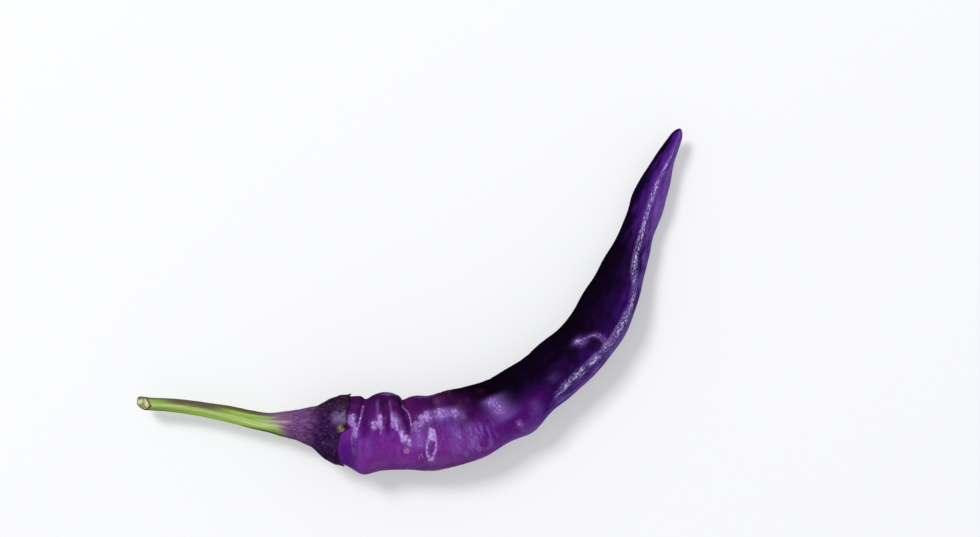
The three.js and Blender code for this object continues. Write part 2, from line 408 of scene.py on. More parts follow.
def wrinkles(along, bearing):
    """Fine gathers across the pod, and shallow dents between them."""
    angle = math.radians(bearing)
    across = Vector((math.sin(angle), math.cos(angle), 0))
    fine = noise.noise(Vector((along * 1.15, across.x * 1.9, across.y * 1.9)))
    finer = noise.noise(Vector((along * 2.3, across.x * 4.0, across.y * 4.0 + 7)))
    dents = noise.noise(Vector((along * 0.28, across.x * 2.2, across.y * 2.2 + 3)))
    deep = DENT_HEIGHT * (1 - 0.6 * smooth(along, 30, 44))
    return gathers(along, bearing) * WRINKLE_HEIGHT * (fine + 0.5 * finer) + deep * dents


def lip(along, bearing):
    """How far the knuckle's brow is pushed over the crease."""
    bearing = turn(0, bearing)
    past = max(LIP_LINE[0][0] - bearing, bearing - LIP_LINE[-1][0], 0) / 16
    off = along - through(LIP_LINE, bearing) + 0.7
    return LIP_PUSH * math.exp(-((off / 0.9) ** 2) - past**2)


def pod_shape(along, bearing, radius):
    """Half width and push of a point of the pod."""
    fade = min(1, pod_girth(along) / 5) * smooth(along, -SHOULDER_DEPTH, 0)
    return pod_radius(along, bearing) + fade * wrinkles(along, bearing), lip(along, bearing)


# %% [markdown]
# Painted shade and painted highlights follow the relief: painted shade darkens the creases, and
# painted highlights and a painted sheen lie on the crowns between them, with a few tints of plum and
# violet. Each such place is a stroke, laid out just like a fold and written on the mesh as an
# attribute, so the colours sit exactly on the relief they belong to.

# %% Strokes of painted shade, painted highlights and sheen, and redder skin
# (share, mm it fades over before its line, mm after, degrees it fades over past its ends, line)
STROKES = {
    # Painted shade: the groove, the knuckle's valley, under and behind the brow, and a small dark spot.
    "crease_shade": [
        (0.85, 1.2, 1.3, 9, [(-65, 6.0), (-33, 4.9), (-4, 4.9)]),
        (0.9, 0.75, 0.8, 7, [(-44, 10.5), (-12, 11.4)]),
        (0.6, 0.25, 0.25, 3, [(-26, 8.5), (-22, 8.6)]),
        (0.6, 0.3, 0.3, 3, [(-24, 13.2), (-20, 13.3)]),
        (1.0, 1.3, 0.9, 6, [(-56, 14.6), (-44, 15.7), (-24, 16.9), (-12, 17.7)]),
        (0.85, 2.2, 5.0, 8, [(-78, 18.5), (-46, 19.0)]),
        (0.8, 1.8, 1.8, 1.3, [(-14, 20.8), (-13, 20.8)]),
    ],
    # Deeper violet: the first stroke is painted shade on the lobe beside the calyx, the second a violet
    # tint.
    "violet": [
        (1.0, 3.0, 3.2, 14, [(22, 0.6), (54, 0.8)]),
        (0.5, 6.0, 6.0, 5, [(-22, 27.0), (-18, 27.0)]),
    ],
    # Painted highlights: lines on the groove and the brow's lip, patches by the crease, and the dimple's
    # rims and fill.
    "painted_highlight": [
        (0.6, 0.22, 0.25, 6, [(-52, 3.7), (-32, 3.5), (-18, 3.2), (-8, 3.0)]),
        (0.65, 0.22, 0.22, 5, [(-58, 15.6), (-38, 17.8), (-16, 18.5), (-10, 18.5)]),
        (1.0, 0.65, 0.7, 4, [(-7, 15.6), (4, 16.0)]),
        (0.95, 0.75, 0.8, 4, [(0, 17.1), (12, 17.6)]),
        (1.2, 0.6, 0.6, 4, [(-8, 23.5), (5, 23.4)]),
        (1.1, 0.25, 0.28, 4, [(4, 22.7), (14, 22.1), (28, 21.8), (41, 22.0)]),
        (0.9, 0.25, 0.24, 4, [(-4, 24.2), (8, 24.3), (22, 23.9), (39, 22.9)]),
        (1.1, 0.45, 0.45, 3, [(41, 22.5), (45, 22.4)]),
    ],
    # Painted highlights: broad patches on the collar, the knuckle's ridges, behind the crease and down
    # the bend.
    "highlight_patches": [
        (0.8, 1.0, 1.1, 5, [(-30, 1.2), (-20, 1.4)]),
        (0.85, 0.7, 0.7, 5, [(-13, 2.2), (1, 2.8)]),
        (0.9, 0.7, 0.7, 4, [(-21, 7.1), (-13, 7.3)]),
        (0.95, 1.0, 0.95, 4, [(-31, 8.7), (-17, 9.1)]),
        (0.7, 0.4, 0.4, 4, [(-14, 9.3), (-8, 9.4)]),
        (0.85, 0.45, 0.6, 4, [(-35, 12.6), (-18, 12.9)]),
        (0.95, 0.7, 0.75, 4, [(-26, 13.9), (-13, 14.4)]),
        (0.8, 0.6, 0.7, 4, [(-21, 19.4), (-16, 19.4)]),
        (0.85, 0.9, 1.0, 5, [(-30, 21.2), (-18, 21.0)]),
        (0.8, 1.0, 1.1, 5, [(-36, 23.0), (-26, 23.0)]),
        (0.42, 1.2, 1.2, 5, [(-8, 20.2), (12, 20.4)]),
        (0.75, 1.7, 1.8, 4, [(-37, 26.4), (-27, 26.7)]),
        (0.65, 1.0, 1.3, 4, [(-31, 30.2), (-23, 30.5)]),
        (0.5, 1.9, 2.3, 6, [(-28, 40.6), (-2, 41.8)]),
        (0.7, 0.7, 0.8, 4, [(30, 44.8), (40, 44.9)]),
        (0.5, 0.8, 0.8, 4, [(-18, 70.6), (-8, 73.6), (0, 75.0), (17, 75.4), (30, 74.4)]),
        (0.4, 1.2, 1.2, 5, [(-20, 70.4), (-10, 71.2)]),
    ],
    # Painted sheen: soft pale haze beside the highlights, and along the shoulder's inner edge.
    "sheen_haze": [
        (0.3, 0.5, 0.6, 8, [(12, 4.0), (32, 4.2)]),
        (0.32, 0.7, 0.9, 8, [(10, 6.2), (28, 6.4)]),
        (0.5, 0.4, 0.5, 8, [(-55, 7.6), (-38, 8.0)]),
        (0.5, 0.35, 0.4, 7, [(-56, 11.6), (-40, 12.4)]),
        (0.9, 3.0, 3.6, 4, [(-100, 10.8), (-79, 11.2)]),
        (0.5, 3.0, 5.0, 4, [(-100, 21.0), (-78, 22.0)]),
        (0.2, 0.9, 0.9, 7, [(-58, 26.0), (-46, 26.4)]),
        (0.6, 3.5, 4.0, 5, [(-34, 27.5), (-26, 28.0)]),
        (0.7, 2.4, 3.2, 6, [(-26, 41.2), (10, 42.4)]),
        (0.36, 1.3, 1.5, 8, [(-4, 28.9), (32, 28.6)]),
        (0.35, 1.6, 1.6, 8, [(0, 33.0), (24, 33.0)]),
        (0.28, 1.4, 1.6, 6, [(16, 50.6), (26, 51.0)]),
        (0.2, 1.4, 1.6, 5, [(0, 59.0), (6, 59.4)]),
        (0.35, 1.6, 1.8, 7, [(-20, 70.6), (-8, 72.0)]),
        (0.35, 2.4, 2.4, 8, [(-8, 20.2), (14, 20.4)]),
    ],
    "plum": [
        (0.9, 0.5, 1.5, 9, [(-78, 16.2), (-44, 17.8)]),
        (0.35, 2.5, 3.0, 12, [(-66, 26.0), (-44, 27.0)]),
    ],
}


def stroked(name, along, bearing):
    """How much of one kind of stroke there is at a place, up to 1."""
    return min(1, sum(fold(*one, along, bearing) for one in STROKES[name]))


# %% [markdown]
# The rings lie close together where the folds are and further apart down the bend, so that the
# triangles go where there is something to show. Where the pod touches the surface it lies on, its
# skin is pressed flat. Besides the strokes, the mesh carries how gathered the skin is and where
# the crest runs.

# %% Make the pod
POD_SIDES = 200
SHOULDER_RINGS = 14
TIP_RINGS = 14
FOLDED_LENGTH = 28
FINE_STEP = 0.27
COARSE_STEP = 0.43


def even_steps(low, high, step):
    """Places from low up to, but not at, high, about a step apart."""
    count = round((high - low) / step)
    return [low + (high - low) * i / count for i in range(count)]


def pod_rings():
    tip_start = pod_length - TIP_ROUNDING
    quarter = math.pi / 2
    places = [
        -SHOULDER_DEPTH * math.cos(i / SHOULDER_RINGS * quarter) for i in range(SHOULDER_RINGS)
    ]
    places += even_steps(0, FOLDED_LENGTH, FINE_STEP)
    places += even_steps(FOLDED_LENGTH, tip_start, COARSE_STEP)
    places += [
        tip_start + TIP_ROUNDING * math.sin(i / TIP_RINGS * quarter) for i in range(TIP_RINGS + 1)
    ]
    return [(along, pod_girth(along)) for along in places]


def make_pod():
    mesh = turned(pod_rings(), POD_SIDES)
    bend(mesh, pod_shape)
    skin = mesh.verts.layers.float_vector["skin"]
    layers = {name: mesh.verts.layers.float.new(name) for name in STROKES}
    gathered = mesh.verts.layers.float.new("gathers")
    crest = mesh.verts.layers.float.new("crest")
    for vertex in mesh.verts:
        vertex.co.z = max(vertex.co.z, 0)
        along, across, up = vertex[skin]
        bearing = math.degrees(math.atan2(across, up))
        vertex[gathered] = gathers(along, bearing)
        # The crest attribute marks where a painted highlight runs along the crest.
        off = turn(through(CREST, along), bearing) / CREST_LINE
        vertex[crest] = math.exp(-(off**2)) * smooth(along, 54, 62) * (1 - smooth(along, 124, 132))
        for name, layer in layers.items():
            vertex[layer] = stroked(name, along, bearing)
    return finished(mesh, "pod_skin")


pod = make_pod()

# %% [markdown]
# ## The calyx
#
# The calyx is a leathery cup with a thin, uneven rim and a few short teeth, one of them curled
# away from the pod. It is turned like the pod, from a profile that runs down the outside, round
# the rim and back up the inside, a hair clear of the pod. Faint ribs lead to the teeth.

# %% The calyx rim
CALYX_RADII = [
    (-13.6, 4.15),
    (-11, 4.95),
    (-9, 5.6),
    (-7.6, 6.5),
    (-6, 7.7),
    (-4.4, 8.6),
    (-2.4, 9.4),
    (0, 9.75),
]
CALYX_START = -13.6
CALYX_WALL = 0.5
CALYX_GAP = 0.06
# How far the rim reaches past its mean place, at degrees from the top towards the outside.
RIM_LINE = [
    (-180, -0.9),
    (-112, -0.6),
    (-84, -0.7),
    (-60, 0.0),
    (-36, -0.1),
    (-20, 0.0),
    (-6, -0.5),
    (4, -1.1),
    (16, -1.5),
    (30, -1.6),
    (52, -1.1),
    (90, -0.9),
    (180, -0.9),
]
# (degrees, length, degrees from the middle of a tooth to its foot, how far it curls out)
TEETH = [
    (-88, 0.8, 13, 0.5),
    (-50, 0.4, 8, 0.1),
    (-11, 1.5, 9, 0.15),
    (88, 1.1, 14, 0.25),
    (145, 1.3, 15, 0.1),
    (200, 1.4, 15, 0.2),
    (235, 0.7, 10, 0.1),
]
RIM_DEPTH = 2.4


def rim_reach(bearing):
    """How far the rim reaches at a bearing, and how far it curls out there."""
    length, curl = through(RIM_LINE, turn(0, bearing)), 0
    for around, tooth, foot, curled in TEETH:
        off = abs(turn(around, bearing)) / foot
        if off < 1:
            length += tooth * (1 - off) ** 1.25
            curl += curled * (1 - off) ** 2
    angle = math.radians(bearing)
    ragged = noise.noise(Vector((math.sin(angle) * 9, math.cos(angle) * 9, 2)))
    return length + 0.22 * ragged, curl


# %% Make the calyx
CALYX_SIDES = 220
OUTER_RINGS = 56
CALYX_OVERLAP = 0.5
INNER_RINGS = [0, -0.5, -1, -1.6, -2.2, -2.9, -3.5, -4.1, -4.6, -5.0, -5.3]


def make_calyx():
    outer = [CALYX_START * (1 - i / OUTER_RINGS) ** 1.15 for i in range(OUTER_RINGS + 1)]
    rings = [(CALYX_START - CALYX_OVERLAP, 0), (CALYX_START - CALYX_OVERLAP, 4.0)]
    rings += [(along, through(CALYX_RADII, along)) for along in outer]
    first_inner = len(rings)
    rings += [(along - 0.001, pod_girth(along) + CALYX_GAP - 0.3) for along in INNER_RINGS]
    rings.append((-SHOULDER_DEPTH - CALYX_GAP, 0))
    outside = {round(along, 4) for along, _ in rings[:first_inner]}

    def shape(along, bearing, radius):
        rim, curl = rim_reach(bearing)
        near_rim = smooth(along, -RIM_DEPTH, 0)
        push = rim * near_rim
        inside = pod_radius(along + push, bearing) + CALYX_GAP
        curled = curl * smooth(along, -1.1, 0)
        if round(along, 4) not in outside:
            return inside + curled, push
        if along < CALYX_START - 0.01:
            return radius, 0
        angle = math.radians(bearing)
        ribs = 0.018 * math.cos(5 * angle + 0.6) * smooth(-along, 2, 9) * (1 - smooth(-along, 12, 13.6))
        grain = noise.noise(Vector((along * 0.5, math.sin(angle) * 7, math.cos(angle) * 7)))
        pits = noise.noise(Vector((along * 1.4, math.sin(angle) * 14, math.cos(angle) * 14)))
        cup = through(CALYX_RADII, along) * (1 + ribs)
        cup += (0.12 * grain + 0.07 * pits) * (1 - smooth(-along, 10, 13.4))
        wall = CALYX_WALL * (1 - 0.35 * smooth(along, -1.5, 0))
        if along >= -SHOULDER_DEPTH:
            cup = max(cup * (1 - near_rim) + (inside + wall) * near_rim, inside + wall)
        return cup + curled, push

    mesh = turned(rings, CALYX_SIDES)
    bend(mesh, shape)
    return finished(mesh, "calyx_cup")


calyx = make_calyx()

# %% [markdown]
# ## The stalk
#
# The stalk is a green stem with five soft ribs that wind slowly round it. It was cut with a
# blade, on a slant, and the cut shows a pale pith inside a thin dark bark. The skin is turned and
# bent as before. Blender's bisect makes the slanted cut, and insets on the new face make the bark's
# edge and the sunken pith, which an attribute named cut marks for the finish.

# %% Make the stalk
STALK_RADII = [
    (-57, 1.85),
    (-54, 1.7),
    (-46, 1.8),
    (-39, 1.9),
    (-32, 2.2),
    (-25, 2.35),
    (-21, 2.6),
    (-18, 3.25),
    (-14, 4.1),
]
STALK_SIDES = 110
STALK_RIBS = 5
RIB_SHARE = 0.07
RIB_TWIST = 1.6
CUT_NORMAL = (-0.6, -0.12, 0.79)
CUT_BACK = 2.1
BARK = 0.42
PITH_DEPTH = 0.18


def stalk_shape(along, bearing, radius):
    """Half width of the stalk with its ribs and fine grooves."""
    if along > CALYX_START - 0.02:
        return radius, 0
    angle = math.radians(bearing)
    wound = math.radians(STALK_RIBS * (bearing + RIB_TWIST * along))
    rib = RIB_SHARE * smooth(-along, 14, 20) * (math.cos(wound) + 0.25 * math.cos(2 * wound + 1))
    rib *= 0.3 + 0.7 * smooth(along, stalk_start, stalk_start + 6)
    grooves = noise.noise(Vector((along * 0.08, math.sin(angle) * 6, math.cos(angle) * 6)))
    knots = noise.noise(Vector((along * 0.5, math.sin(angle) * 2, math.cos(angle) * 2)))
    calm = smooth(-along, 13.6, 16)
    return through(STALK_RADII, along) * (1 + rib + calm * (0.02 * grooves + 0.02 * knots)), 0


def cut_stalk(mesh):
    """Slices the stalk's end off and shapes the cut face."""
    skin = mesh.verts.layers.float_vector["skin"]
    cut = mesh.verts.layers.float.new("cut")
    middle = section(stalk_start + CUT_BACK)[0]
    everything = mesh.verts[:] + mesh.edges[:] + mesh.faces[:]
    bmesh.ops.bisect_plane(
        mesh, geom=everything, plane_co=middle, plane_no=CUT_NORMAL, clear_outer=True
    )
    rim = [edge for edge in mesh.edges if edge.is_boundary]
    face = bmesh.ops.edgeloop_fill(mesh, edges=rim)["faces"]
    bark = bmesh.ops.inset_region(mesh, faces=face, thickness=BARK, depth=0.0)["faces"]
    edge = bmesh.ops.inset_region(mesh, faces=face, thickness=0.1, depth=-PITH_DEPTH)["faces"]
    pith = bmesh.ops.inset_region(mesh, faces=face, thickness=0.55, depth=0.05)["faces"]
    poked = bmesh.ops.poke(mesh, faces=face)
    for vertex in poked["verts"]:
        vertex.co -= Vector(CUT_NORMAL).normalized() * 0.35
    for part in (edge, pith, poked["faces"]):
        for one in part:
            for vertex in one.verts:
                vertex[cut] = 1
    for one in bark:
        for vertex in one.verts:
            vertex[cut] = max(vertex[cut], 0.3)
    for vertex in mesh.verts:
        if vertex[cut] > 0:
            vertex[skin] = (stalk_start, vertex.co.x * 4, vertex.co.y * 4)
    print("the cut face has", len(bark), "bark faces")


def make_stalk():
    places = even_steps(stalk_start, CALYX_START, 0.35) + [CALYX_START]
    rings = [(stalk_start, 0)]
    rings += [(along, through(STALK_RADII, along)) for along in places]
    rings += [(CALYX_START + 0.8, 3.7), (CALYX_START + 0.9, 0)]
    mesh = turned(rings, STALK_SIDES)
    bend(mesh, stalk_shape)
    cut_stalk(mesh)
    return finished(mesh, "stalk_skin")


stalk = make_stalk()

# %% [markdown]
# ## Where the pieces belong
#
# Each new piece takes the place of one solid of the imported model. Nothing on a pepper moves, so
# all three ride on the one body.

# %% Ride and replace
for piece, node in ((pod, "pod"), (calyx, "calyx"), (stalk, "stalk")):
    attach(piece, "root")
    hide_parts(node)

# %% [markdown]
# ## Finishes
#
# One effect is shared by all three skins, so it is a node group: soft noise stretched along or
# across the skin. It makes the mottling, and as a height it makes the wrinkles. It reads the skin
# attribute, so it turns with the bend instead of running straight through it.


# %% Helpers for nodes
def node(tree, kind, **values):
    """A new node of a tree, with its properties set by name."""
    made = tree.nodes.new(kind)
    for name, value in values.items():
        setattr(made, name, value)
    return made


def colour(code):
    """A scene colour from a picture colour written as rrggbb."""
    parts = [int(code[i : i + 2], 16) / 255 for i in (0, 2, 4)]
    linear = [v / 12.92 if v <= 0.04045 else ((v + 0.055) / 1.055) ** 2.4 for v in parts]
    return (*linear, 1)


def fill_ramp(ramp, stops):
    """Gives a colour ramp its stops, as (place from 0 to 1, rrggbb)."""
    elements = ramp.color_ramp.elements
    while len(elements) > 1:
        elements.remove(elements[-1])
    elements[0].position = stops[0][0]
    elements[0].color = colour(stops[0][1])
    for place, code in stops[1:]:
        elements.new(place).color = colour(code)


# %% The shared noise group
def make_skin_noise():
    """Noise on the skin: Along and Round say how many features there are in 10 mm each way."""
    tree = bpy.data.node_groups.new("skin_noise", "ShaderNodeTree")
    for name, kind, value in (
        ("Skin", "NodeSocketVector", None),
        ("Along", "NodeSocketFloat", 5.0),
        ("Round", "NodeSocketFloat", 5.0),
        ("Low", "NodeSocketFloat", 0.35),
        ("High", "NodeSocketFloat", 0.65),
    ):
        socket = tree.interface.new_socket(name, in_out="INPUT", socket_type=kind)
        if value is not None:
            socket.default_value = value
    tree.interface.new_socket("Mask", in_out="OUTPUT", socket_type="NodeSocketFloat")
    inputs = node(tree, "NodeGroupInput")
    outputs = node(tree, "NodeGroupOutput")
    scale = node(tree, "ShaderNodeCombineXYZ")
    tree.links.new(inputs.outputs["Along"], scale.inputs["X"])
    tree.links.new(inputs.outputs["Round"], scale.inputs["Y"])
    tree.links.new(inputs.outputs["Round"], scale.inputs["Z"])
    squeezed = node(tree, "ShaderNodeVectorMath", operation="MULTIPLY")
    tree.links.new(inputs.outputs["Skin"], squeezed.inputs[0])
    tree.links.new(scale.outputs["Vector"], squeezed.inputs[1])
    grain = node(tree, "ShaderNodeTexNoise")
    grain.inputs["Scale"].default_value = 0.1
    grain.inputs["Detail"].default_value = 3
    grain.inputs["Roughness"].default_value = 0.55
    tree.links.new(squeezed.outputs["Vector"], grain.inputs["Vector"])
    mask = node(tree, "ShaderNodeMapRange", interpolation_type="SMOOTHSTEP")
    tree.links.new(grain.outputs["Fac"], mask.inputs["Value"])
    tree.links.new(inputs.outputs["Low"], mask.inputs["From Min"])
    tree.links.new(inputs.outputs["High"], mask.inputs["From Max"])
    tree.links.new(mask.outputs["Result"], outputs.inputs["Mask"])
    return tree


skin_noise = make_skin_noise()
print("made the group", skin_noise.name)


# %% A finish and its usual nodes
class Finish:
    """One material: a Principled shader, the skin attribute, and short ways to wire them."""

    def __init__(self, name, roughness):
        self.material = bpy.data.materials.new(name)
        self.material.use_nodes = True
        self.tree = self.material.node_tree
        self.shader = self.tree.nodes["Principled BSDF"]
        self.shader.inputs["Roughness"].default_value = roughness
        self.skin = node(self.tree, "ShaderNodeAttribute", attribute_name="skin")
        self.parts = node(self.tree, "ShaderNodeSeparateXYZ")
        self.link(self.skin.outputs["Vector"], self.parts.inputs[0])

    def link(self, start, end):
        self.tree.links.new(start, end)

    def noise(self, along, round_it, low=0.35, high=0.65):
        """A mask of noise on the skin."""
        made = node(self.tree, "ShaderNodeGroup", node_tree=skin_noise)
        self.link(self.skin.outputs["Vector"], made.inputs["Skin"])
        for name, value in (("Along", along), ("Round", round_it), ("Low", low), ("High", high)):
            made.inputs[name].default_value = value
        return made.outputs["Mask"]

    def attribute(self, name):
        """A number that was written on the mesh under a name."""
        return node(self.tree, "ShaderNodeAttribute", attribute_name=name).outputs["Fac"]

    def within(self, vector, along, bearing, close, far):
        """1 within close mm of a place on the skin, and 0 past far mm."""
        angle = math.radians(bearing)
        made = node(self.tree, "ShaderNodeVectorMath", operation="DISTANCE")
        self.link(vector, made.inputs[0])
        place = (along, SKIN_RADIUS * math.sin(angle), SKIN_RADIUS * math.cos(angle))
        made.inputs[1].default_value = place
        return self.ranged(made.outputs["Value"], far, close)

    def near(self, along, bearing, close, far):
        """A mask round a place on the skin."""
        return self.within(self.skin.outputs["Vector"], along, bearing, close, far)

    def near_line(self, bearing, close, far):
        """A mask along a line that runs down the skin at a bearing."""
        flat = node(self.tree, "ShaderNodeCombineXYZ")
        self.link(self.parts.outputs["Y"], flat.inputs["Y"])
        self.link(self.parts.outputs["Z"], flat.inputs["Z"])
        return self.within(flat.outputs["Vector"], 0, bearing, close, far)

    def facing(self, axis, start, end):
        """A mask from 0 to 1 between two shares of the skin's radius along Y or Z."""
        return self.ranged(self.parts.outputs[axis], start * SKIN_RADIUS, end * SKIN_RADIUS)

    def ranged(self, value, low, high, start=0.0, end=1.0):
        """A value eased from start at low to end at high."""
        made = node(self.tree, "ShaderNodeMapRange", interpolation_type="SMOOTHSTEP")
        self.link(value, made.inputs["Value"])
        made.inputs["From Min"].default_value = low
        made.inputs["From Max"].default_value = high
        made.inputs["To Min"].default_value = start
        made.inputs["To Max"].default_value = end
        return made.outputs["Result"]

    def maths(self, operation, first, second):
        """A sum, product or other step of two values, the second a number or a socket."""
        made = node(self.tree, "ShaderNodeMath", operation=operation)
        self.link(first, made.inputs[0])
        if isinstance(second, (int, float)):
            made.inputs[1].default_value = second
        else:
            self.link(second, made.inputs[1])
        return made.outputs[0]

    def product(self, first, *others):
        """The product of a mask and of others, which may be numbers."""
        for other in others:
            first = self.maths("MULTIPLY", first, other)
        return first

    def ramp(self, value, stops):
        """A colour for each value from 0 to 1."""
        made = node(self.tree, "ShaderNodeValToRGB")
        fill_ramp(made, stops)
        self.link(value, made.inputs["Fac"])
        return made.outputs["Color"]

    def mixed(self, share, first, second):
        """Two colours mixed by a mask. Each colour is a socket or rrggbb."""
        made = node(self.tree, "ShaderNodeMix", data_type="RGBA", clamp_factor=True)
        self.link(share, made.inputs[0])
        for socket, value in ((made.inputs[6], first), (made.inputs[7], second)):
            if isinstance(value, str):
                socket.default_value = colour(value)
            else:
                self.link(value, socket)
        return made.outputs[2]

    def joined(self):
        """The mottled plum where the stalk runs into the calyx."""
        coarse = self.mixed(self.noise(7, 9, 0.35, 0.65), "4e2a5a", "70467a")
        return self.mixed(self.noise(24, 12, 0.56, 0.72), coarse, "84628e")

    def bumped(self, heights):
        """Wires (height socket, strength, distance in mm) bumps one after another."""
        last = None
        for height, strength, distance in heights:
            made = node(self.tree, "ShaderNodeBump")
            made.inputs["Strength"].default_value = strength
            made.inputs["Distance"].default_value = distance * MM
            self.link(height, made.inputs["Height"])
            if last is not None:
                self.link(last, made.inputs["Normal"])
            last = made.outputs["Normal"]
        self.link(last, self.shader.inputs["Normal"])

    def wear(self, piece):
        piece.data.materials.append(self.material)


# %% [markdown]
# ## The pod's skin
#
# The colour follows two things: how far along the pod a point is, and which side of the bend it is
# on. Three colour ramps run from the inside of the bend to its outside, for the shoulder, the bend
# and the tip, and each fades into the next. Besides the skin's own colour they carry painted shade,
# dark on the inside of the bend, and painted light on its outside. The strokes go on top: painted
# shade in the creases and beside the calyx, violet and plum tints, and painted sheen and painted
# highlights on the crowns. A soft one is only a tint. A painted highlight also has a torn heart: its
# edge is shifted by fine noise, which breaks it into painted glints like light on a finely wrinkled
# skin. The crest's painted highlight is a chain of such glints, and a few small painted glints are
# scattered on the shoulder. Only the gathered skin is glossy, because the tight skin round the bend
# is too dark and smooth to show a shine.

# %% Pod skin
# Each ramp runs from the inside of the bend to its outside. Its dark inner end is partly the skin's own
# colour and partly painted shade, and its pale outer end is partly the skin's own colour and partly
# painted light and painted reflection.
SHOULDER_COLOURS = [
    (0.0, "2a0832"),
    (0.12, "3c0846"),
    (0.3, "4c0c60"),
    (0.46, "5c167a"),
    (0.62, "6a1e86"),
    (0.8, "702688"),
    (1.0, "7a3c94"),
]
BEND_COLOURS = [
    (0.0, "08030c"),
    (0.2, "0b0312"),
    (0.42, "160626"),
    (0.6, "220a3e"),
    (0.74, "330f5a"),
    (0.86, "583488"),
    (1.0, "70569c"),
]
TIP_COLOURS = [
    (0.0, "0e0416"),
    (0.14, "1a0830"),
    (0.3, "38145e"),
    (0.5, "4a1e74"),
    (0.7, "643892"),
    (1.0, "8260b2"),
]
# (mm past the rim, bearing, reach of full colour, reach of any colour, colour)
SPOTS = [
    (16.8, 23, 0.4, 1.2, "90508c"),
    (16.8, 23, 0.34, 0.56, "b8889c"),
    (16.8, 23, 0.18, 0.34, "2a0a18"),
]
# In order: violet with painted shade beside the calyx, painted shade in the creases, the skin's own
# plum, painted sheen, and two kinds of painted highlight whose torn hearts are painted glints.
# (attribute, share, colour, share of its torn heart, that heart's colour)
STROKE_LOOKS = [
    ("violet", 0.9, "460c72", 0, "460c72"),
    ("crease_shade", 0.95, "3e0450", 0, "3e0450"),
    ("plum", 0.5, "5c1250", 0, "5c1250"),
    ("sheen_haze", 0.7, "7c5cac", 0, "7c5cac"),
    ("highlight_patches", 0.6, "8658ac", 0.75, "b898e0"),
    ("painted_highlight", 0.65, "9468b8", 0.9, "cdb6ee"),
]
# Tiny painted glints, pale pink, scattered on the shoulder: (mm past the rim, bearing).
GLINT_SPECKS = [(19.9, 32), (20.5, 29), (20.6, 34), (19.8, 36), (30.2, 12), (9.0, 68)]
GLINT_SIZE = (0.08, 0.2)


